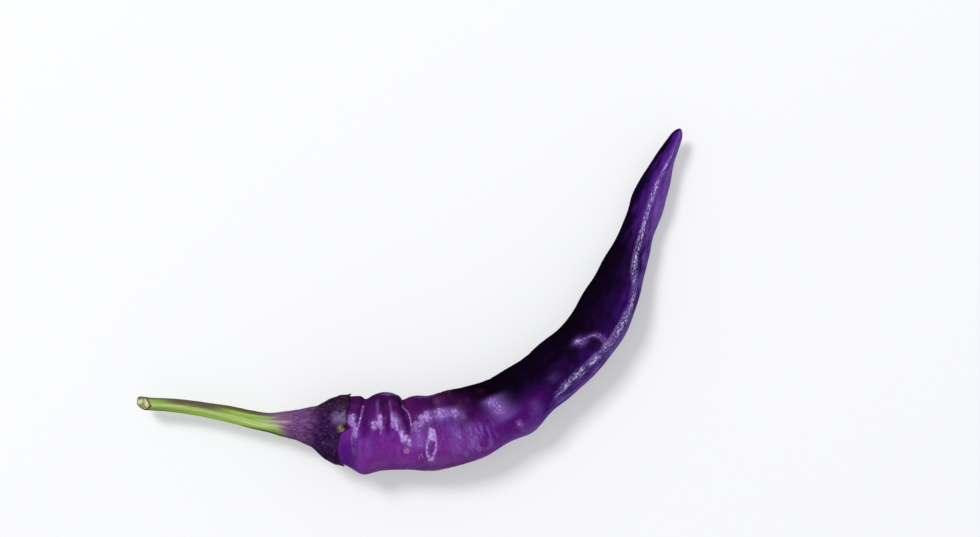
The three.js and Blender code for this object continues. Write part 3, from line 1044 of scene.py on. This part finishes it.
def pod_finish():
    look = Finish("pod_wax", 0.26)
    side = look.facing("Y", -1, 1)
    side.node.interpolation_type = "LINEAR"
    blotches = look.noise(2.2, 3.0, 0.3, 0.7)
    waver = look.product(look.maths("SUBTRACT", blotches, 0.5), 0.22)
    wavering = look.maths("ADD", side, waver)
    along = look.parts.outputs["X"]
    shoulder = look.ramp(wavering, SHOULDER_COLOURS)
    bend_colour = look.ramp(wavering, BEND_COLOURS)
    tip = look.ramp(wavering, TIP_COLOURS)
    darkening = look.maths("SUBTRACT", along, look.product(side, 18))
    skin = look.mixed(look.ranged(darkening, 14, 40), shoulder, bend_colour)
    skin = look.mixed(look.ranged(along, 98, 114), skin, tip)
    plum = look.product(look.noise(3.5, 4, 0.5, 0.72), look.ranged(along, 45, 30))
    skin = look.mixed(look.product(plum, 0.3), skin, "6b2458")
    # Painted sheen: a pale lavender strip just inside the pod's lower edge, short of the bend.
    rim = look.product(look.facing("Y", 0.9, 1), 0.35)
    rim = look.product(rim, look.ranged(along, 60, 44))
    skin = look.mixed(rim, skin, "8c7ab8")
    under = look.facing("Z", -0.2, -1)
    skin = look.mixed(look.product(under, 0.5), skin, "5c2a6e")
    streaky = look.product(look.noise(22, 5, 0.45, 0.75), look.ranged(along, 50, 34, 0.0, 0.3))
    streaky = look.product(streaky, look.ranged(side, 0.3, 0.55))
    skin = look.mixed(streaky, skin, "8c54a4")
    middle = look.product(look.ranged(side, 0.42, 0.6), look.ranged(side, 0.97, 0.85))
    deep = look.product(look.ranged(along, 34, 39), look.ranged(along, 60, 50))
    deep = look.product(deep, middle, 0.5)
    skin = look.mixed(deep, skin, "520e70")
    bands = look.product(look.ranged(along, 26, 30), look.ranged(along, 41, 35))
    bands = look.product(bands, middle, look.noise(9, 2.5, 0.5, 0.62))
    skin = look.mixed(look.product(bands, 0.4), skin, "8a70c2")
    # The torn hearts of the highlight strokes are painted glints, broken into flecks by this noise.
    fleck_breakup = look.noise(14, 9, 0.2, 0.7)
    torn = look.maths("SUBTRACT", look.noise(26, 15, 0.25, 0.75), 0.5)
    for name, share, code, heart_share, heart in STROKE_LOOKS:
        stroke = look.attribute(name)
        skin = look.mixed(look.product(stroke, share), skin, code)
        if heart_share:
            inner = look.ranged(look.maths("ADD", stroke, torn), 0.35, 0.9)
            inner = look.product(inner, look.ranged(stroke, 0.1, 0.35))
            inner = look.product(inner, fleck_breakup, heart_share)
            skin = look.mixed(inner, skin, heart)
    mottles = look.product(look.noise(5, 7, 0.45, 0.7), look.ranged(along, 44, 60, 0.0, 0.35))
    skin = look.mixed(mottles, skin, "12041e")
    # Painted highlight along the crest: a soft violet band, and a chain of pale painted glints on it.
    crest = look.attribute("crest")
    breaks = look.noise(3, 9, 0.35, 0.6)
    skin = look.mixed(look.product(crest, breaks, 0.45), skin, "6c4c9c")
    crest_glints = look.product(crest, breaks, look.noise(13, 20, 0.5, 0.6))
    skin = look.mixed(look.product(crest_glints, 1.6), skin, "d0c2f2")
    gathered = look.attribute("gathers")
    beside = look.product(look.ranged(gathered, 0.12, 0.6), look.ranged(along, 52, 60))
    glints = look.product(beside, look.noise(12, 18, 0.6, 0.66))
    skin = look.mixed(look.product(glints, 0.45), skin, "a48cd0")
    for *place, code in SPOTS:
        skin = look.mixed(look.near(*place), skin, code)
    for place in GLINT_SPECKS:
        skin = look.mixed(look.near(*place, *GLINT_SIZE), skin, "d09ac0")
    look.link(skin, look.shader.inputs["Base Color"])
    rough = look.ranged(look.noise(12, 5, 0.3, 0.75), 0, 1, 0.17, 0.3)
    look.link(rough, look.shader.inputs["Roughness"])
    look.link(look.ranged(gathered, 0.15, 0.5, 0.0, 0.36), look.shader.inputs["Specular IOR Level"])
    look.link(look.ranged(gathered, 0.15, 0.5, 0.0, 0.12), look.shader.inputs["Coat Weight"])
    look.shader.inputs["Coat Roughness"].default_value = 0.12
    look.bumped([
        (look.product(look.noise(14, 7, 0.25, 0.8), gathered), 0.7, 0.11),
        (look.product(look.noise(30, 22, 0.3, 0.7), gathered), 0.8, 0.06),
    ])
    return look


pod_finish().wear(pod)

# %% [markdown]
# ## The calyx and the stalk
#
# The calyx is dark purple with fine violet mottling, one paler patch and traces of olive near its
# rim, and its teeth have dried brown. The stalk starts in the same purple and turns lime green,
# with brown streaks on its ribs. Its cut end is pale pith inside a brown bark.

# %% Calyx skin
RIB_BEARING = 10
STREAK_BEARING = -38


def calyx_finish():
    look = Finish("calyx_leather", 0.45)
    look.shader.inputs["Specular IOR Level"].default_value = 0.15
    along = look.parts.outputs["X"]
    skin = look.mixed(look.noise(9, 8, 0.35, 0.65), "1c062e", "38154c")
    high = look.facing("Y", -0.5, -0.95)
    skin = look.mixed(look.product(high, 0.75), skin, "2a141e")
    # Painted sheen: a pale grey-lavender strip along the calyx's lower edge.
    low = look.facing("Y", 0.88, 0.99)
    skin = look.mixed(look.product(low, 0.2), skin, "7a7292")
    uneven = look.product(look.noise(3, 5, 0.2, 0.8), 3)
    front = look.ranged(look.maths("ADD", along, uneven), -5, -11)
    skin = look.mixed(front, skin, look.joined())
    rim = look.product(look.near(-1.6, -26, 0.8, 3.4), look.noise(7, 9, 0.3, 0.6))
    skin = look.mixed(look.product(rim, 0.75), skin, "7c668c")
    olive = look.product(look.ranged(along, -5, -1), look.noise(7, 9, 0.58, 0.7))
    skin = look.mixed(look.product(olive, 0.6), skin, "4a4630")
    specks = look.product(look.noise(26, 18, 0.6, 0.68), look.ranged(along, -2, -9, 0.3, 0.6))
    skin = look.mixed(specks, skin, "8a5c90")
    skin = look.mixed(look.product(look.noise(22, 14, 0.58, 0.68), 0.5), skin, "12061c")
    skin = look.mixed(look.ranged(along, 0.1, 0.9), skin, "241a14")
    scar = look.product(look.near(-0.9, -7, 0.4, 1.5), look.noise(20, 22, 0.42, 0.56))
    skin = look.mixed(scar, skin, "86764a")
    skin = look.mixed(look.near(0.2, -12, 0.3, 1.0), skin, "1c1208")
    look.link(skin, look.shader.inputs["Base Color"])
    look.bumped([(look.noise(9, 8, 0.25, 0.75), 0.35, 0.16), (look.noise(30, 20, 0.3, 0.7), 0.45, 0.07)])
    return look


calyx_finish().wear(calyx)


# %% Stalk skin
def stalk_finish():
    look = Finish("stalk_skin", 0.4)
    along = look.parts.outputs["X"]
    green = look.mixed(look.noise(1.2, 9, 0.3, 0.7), "759c26", "9cbc4c")
    # Painted highlight: a pale line along a rib near the top of the stalk.
    painted_highlight = look.product(look.near_line(RIB_BEARING, 1.2, 4.0), look.noise(2, 6, 0.25, 0.5))
    green = look.mixed(look.product(painted_highlight, 0.6), green, "bccb8c")
    streaks = look.product(look.near_line(STREAK_BEARING, 2.0, 6.0), look.ranged(along, -54, -46))
    streaks = look.product(streaks, look.ranged(along, -30, -38))
    streaks = look.product(streaks, look.noise(1.5, 9, 0.28, 0.45))
    green = look.mixed(look.product(streaks, 0.95), green, "5e3e3a")
    faint = look.noise(0.9, 8, 0.6, 0.7)
    green = look.mixed(look.product(faint, 0.5), green, "84704e")
    # Darker edges: the lower one is painted shade, and the upper one is the stalk's own brown-olive with
    # painted shade.
    low = look.facing("Y", 0.84, 1)
    green = look.mixed(look.product(low, 0.85), green, "3a4a26")
    high = look.facing("Y", -0.5, -0.95)
    green = look.mixed(look.product(high, 0.9), green, "4a4228")
    edge = look.maths("ADD", along, look.product(look.noise(2, 8, 0.2, 0.8), 5))
    edge = look.maths("SUBTRACT", edge, look.product(look.parts.outputs["Y"], 0.35))
    skin = look.mixed(look.ranged(edge, -21, -13), green, "7a5270")
    skin = look.mixed(look.ranged(along, -19, -13.6), skin, look.joined())
    shine = look.product(look.near_line(-14, 0.3, 1.6), look.ranged(along, -27, -22))
    shine = look.product(shine, look.ranged(along, -13.6, -17))
    skin = look.mixed(look.product(shine, 0.45), skin, "c8b2c4")
    cut = look.attribute("cut")
    skin = look.mixed(look.ranged(cut, 0.05, 0.3), skin, "302c1e")
    pith = look.mixed(look.noise(1.6, 1.6, 0.4, 0.6), "d2d3a8", "8c8458")
    skin = look.mixed(look.ranged(cut, 0.5, 1.0), skin, pith)
    look.link(skin, look.shader.inputs["Base Color"])
    look.bumped([(look.noise(2, 30, 0.25, 0.75), 0.4, 0.12), (look.noise(30, 40, 0.3, 0.7), 0.2, 0.05)])
    return look


stalk_finish().wear(stalk)

# %% [markdown]
# ## Camera
#
# The photograph looks straight down. The camera hangs above the surface, and its lens is chosen so
# that the picture's width covers the same stretch of the surface as the photograph does.

# %% Camera
PICTURE_WIDTH = 980
MM_PER_PIXEL = 0.27
AIM = (21.89, 8.74)
CAMERA_HEIGHT = 450
PEPPER_MIDDLE_HEIGHT = 10
SENSOR_WIDTH = 36

camera_data = bpy.data.cameras.new("camera")
camera_data.sensor_width = SENSOR_WIDTH
camera_data.lens = (
    SENSOR_WIDTH * (CAMERA_HEIGHT - PEPPER_MIDDLE_HEIGHT) / (PICTURE_WIDTH * MM_PER_PIXEL)
)
camera = bpy.data.objects.new("camera", camera_data)
camera.location = (AIM[0] * MM, AIM[1] * MM, CAMERA_HEIGHT * MM)
bpy.context.scene.collection.objects.link(camera)
bpy.context.scene.camera = camera
print("the lens is", round(camera_data.lens, 1), "mm")

# %% [markdown]
# ## Floor and light
#
# The pepper lies on a plain white surface that glows a little, like paper lit from below, which
# keeps its shadow soft and grey. A broad light from the upper left casts that shadow. Three small
# windows make the glints on the wax: one for the shoulder, and two down the right for the crest.
# Dark wax would turn grey if it mirrored a white room, so the floor and the broad light are left
# out of reflections, and the room mirrors as a dim one.

# %% Floor
# The reach is in metres, and the drop below the pepper in mm.
FLOOR_REACH = 3
FLOOR_DROP = 0.02


def make_floor():
    mesh = bmesh.new()
    bmesh.ops.create_grid(mesh, x_segments=1, y_segments=1, size=FLOOR_REACH)
    data = bpy.data.meshes.new("floor")
    mesh.to_mesh(data)
    mesh.free()
    floor = bpy.data.objects.new("floor", data)
    floor.location.z = -FLOOR_DROP * MM
    floor.visible_glossy = False
    bpy.context.scene.collection.objects.link(floor)
    paper = bpy.data.materials.new("floor_white")
    paper.use_nodes = True
    shader = paper.node_tree.nodes["Principled BSDF"]
    shader.inputs["Base Color"].default_value = colour("c2c2c3")
    shader.inputs["Roughness"].default_value = 0.9
    shader.inputs["Specular IOR Level"].default_value = 0.1
    shader.inputs["Emission Color"].default_value = colour("fdfeff")
    shader.inputs["Emission Strength"].default_value = 0.335
    data.materials.append(paper)


make_floor()


# %% Lights
def add_light(name, place, size, power, tint, seen_by):
    """An area light of size (wide, high) in metres, aimed at the pepper. seen_by says whether it
    lights diffuse surfaces or shows in gloss."""
    data = bpy.data.lights.new(name, "AREA")
    data.shape = "RECTANGLE"
    data.size, data.size_y = size
    data.energy = power
    data.color = colour(tint)[:3]
    light = bpy.data.objects.new(name, data)
    light.location = place
    light.rotation_euler = (Vector(CENTRE) - Vector(place)).to_track_quat("-Z", "Y").to_euler()
    light.visible_glossy = seen_by == "gloss"
    light.visible_diffuse = seen_by == "diffuse"
    bpy.context.scene.collection.objects.link(light)


CENTRE = (0.02, 0.0, 0.01)
add_light("key", (-1.32, 1.46, 2.65), (0.85, 0.85), 85, "fdfeff", "diffuse")
add_light("top_window", (0.12, 0.46, 0.655), (0.4, 0.4), 3.4, "cec4ff", "gloss")
add_light("side_window", (0.62, -0.558, 0.337), (0.28, 0.28), 1.3, "d4c6ff", "gloss")
add_light("tip_window", (0.566, -0.206, 0.669), (0.26, 0.3), 2.2, "d4c6ff", "gloss")


def make_world():
    """An even white room for soft light, which mirrors as a dim one."""
    world = bpy.data.worlds.new("room")
    bpy.context.scene.world = world
    world.use_nodes = True
    tree = world.node_tree
    room = tree.nodes["Background"]
    room.inputs["Color"].default_value = colour("fdfdff")
    room.inputs["Strength"].default_value = 0.57
    dim = node(tree, "ShaderNodeBackground")
    dim.inputs["Color"].default_value = colour("a088ff")
    dim.inputs["Strength"].default_value = 0.03
    path = node(tree, "ShaderNodeLightPath")
    mix = node(tree, "ShaderNodeMixShader")
    tree.links.new(path.outputs["Is Glossy Ray"], mix.inputs["Fac"])
    tree.links.new(room.outputs["Background"], mix.inputs[1])
    tree.links.new(dim.outputs["Background"], mix.inputs[2])
    tree.links.new(mix.outputs["Shader"], tree.nodes["World Output"].inputs["Surface"])


make_world()
bpy.context.scene.view_settings.view_transform = "Standard"
